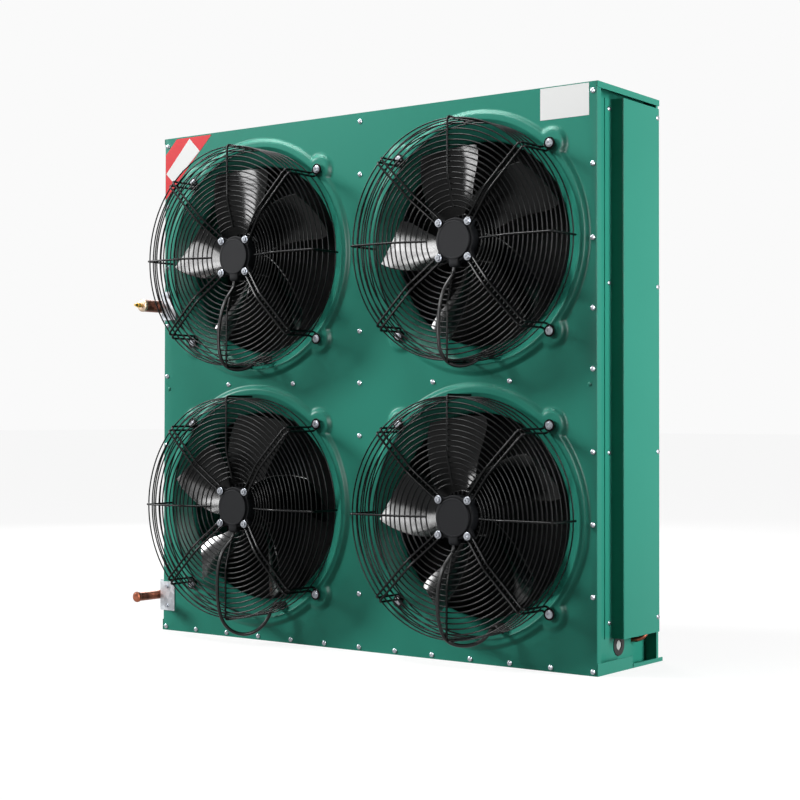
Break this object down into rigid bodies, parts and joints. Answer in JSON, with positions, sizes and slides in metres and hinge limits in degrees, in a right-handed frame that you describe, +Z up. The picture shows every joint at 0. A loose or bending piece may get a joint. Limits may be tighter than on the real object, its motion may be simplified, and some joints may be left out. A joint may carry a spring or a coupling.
{
  "type": "air-cooled condensing unit",
  "caption": "Upright air-cooled condenser: finned coil in a folded sheet cabinet, with axial fans behind wire guards on the front and copper pipe ends at the left.",
  "frame": {"origin": "middle of the underside of the base tray, below the middle of the cabinet", "axes": "+X to the right as seen from the fans' side, +Y from the fans to the coil, +Z up"},
  "size_m": [1.191, 0.3677, 1.13],
  "materials": {
    "green_paint": "satin powder coat",
    "galvanised_sheet": "galvanised",
    "fin_aluminium": "mill finish",
    "copper": "drawn copper, slightly tarnished",
    "plated_cap": "dull plated",
    "valve_brass": "turned",
    "zinc_steel": "zinc plated",
    "black_rubber": "matte",
    "guard_wire": "semi-gloss black powder coat",
    "motor_black": "matte black",
    "bearing_steel": "ground",
    "blade_black": "gloss black",
    "lead_sheath": "satin sheath"
  },
  "bodies": {
    "cabinet": {"access_valve": "valve_brass", "base_tray": "green_paint", "bearings_lower_left": "bearing_steel", "bearings_lower_right": "bearing_steel", "bearings_upper_left": "bearing_steel", "bearings_upper_right": "bearing_steel", "bracket_screws": "zinc_steel", "cable_grommet": "black_rubber", "coil_tubes": "copper", "cover_left": "green_paint", "cover_right": "green_paint", "divider_shelves": "galvanised_sheet", "divider_upright": "galvanised_sheet", "fan_panel": "green_paint", "fin_pack": "fin_aluminium", "gas_header": "copper", "gas_pipe": "copper", "gas_pipe_cap": "plated_cap", "guard_bolts": "zinc_steel", "guard_lower_left": "guard_wire", "guard_lower_right": "guard_wire", "guard_rim_lower_left": "guard_wire", "guard_rim_lower_right": "guard_wire", "guard_rim_upper_left": "guard_wire", "guard_rim_upper_right": "guard_wire", "guard_upper_left": "guard_wire", "guard_upper_right": "guard_wire", "lead_bushes": "black_rubber", "lead_lower_left": "lead_sheath", "lead_lower_right": "lead_sheath", "lead_upper_left": "lead_sheath", "lead_upper_right": "lead_sheath", "liquid_header": "copper", "liquid_pipe": "copper", "liquid_pipe_cap": "copper", "motor_bolts": "zinc_steel", "motor_lower_left": "motor_black", "motor_lower_right": "motor_black", "motor_upper_left": "motor_black", "motor_upper_right": "motor_black", "pipe_brackets": "galvanised_sheet", "return_bends": "copper", "side_plate_left": "green_paint", "side_plate_right": "green_paint", "top_panel": "green_paint", "tube_sheet_left": "green_paint", "tube_sheet_middle": "galvanised_sheet", "tube_sheet_right": "green_paint"},
    "fan_upper_left": {"rotor_upper_left": "motor_black", "shaft_upper_left": "bearing_steel", "impeller_upper_left": "blade_black"},
    "fan_upper_right": {"rotor_upper_right": "motor_black", "shaft_upper_right": "bearing_steel", "impeller_upper_right": "blade_black"},
    "fan_lower_left": {"rotor_lower_left": "motor_black", "shaft_lower_left": "bearing_steel", "impeller_lower_left": "blade_black"},
    "fan_lower_right": {"rotor_lower_right": "motor_black", "shaft_lower_right": "bearing_steel", "impeller_lower_right": "blade_black"}
  },
  "joints": [
    {"name": "fan_spin_upper_left", "type": "hinge", "parent": "cabinet", "child": "fan_upper_left", "pos_m": [-0.2907, -0.124, 0.8378], "axis": [0, 1, 0], "continuous": true},
    {"name": "fan_spin_upper_right", "type": "hinge", "parent": "cabinet", "child": "fan_upper_right", "pos_m": [0.2907, -0.124, 0.8378], "axis": [0, 1, 0], "continuous": true},
    {"name": "fan_spin_lower_left", "type": "hinge", "parent": "cabinet", "child": "fan_lower_left", "pos_m": [-0.2907, -0.124, 0.2928], "axis": [0, 1, 0], "continuous": true},
    {"name": "fan_spin_lower_right", "type": "hinge", "parent": "cabinet", "child": "fan_lower_right", "pos_m": [0.2907, -0.124, 0.2928], "axis": [0, 1, 0], "continuous": true}
  ]
}
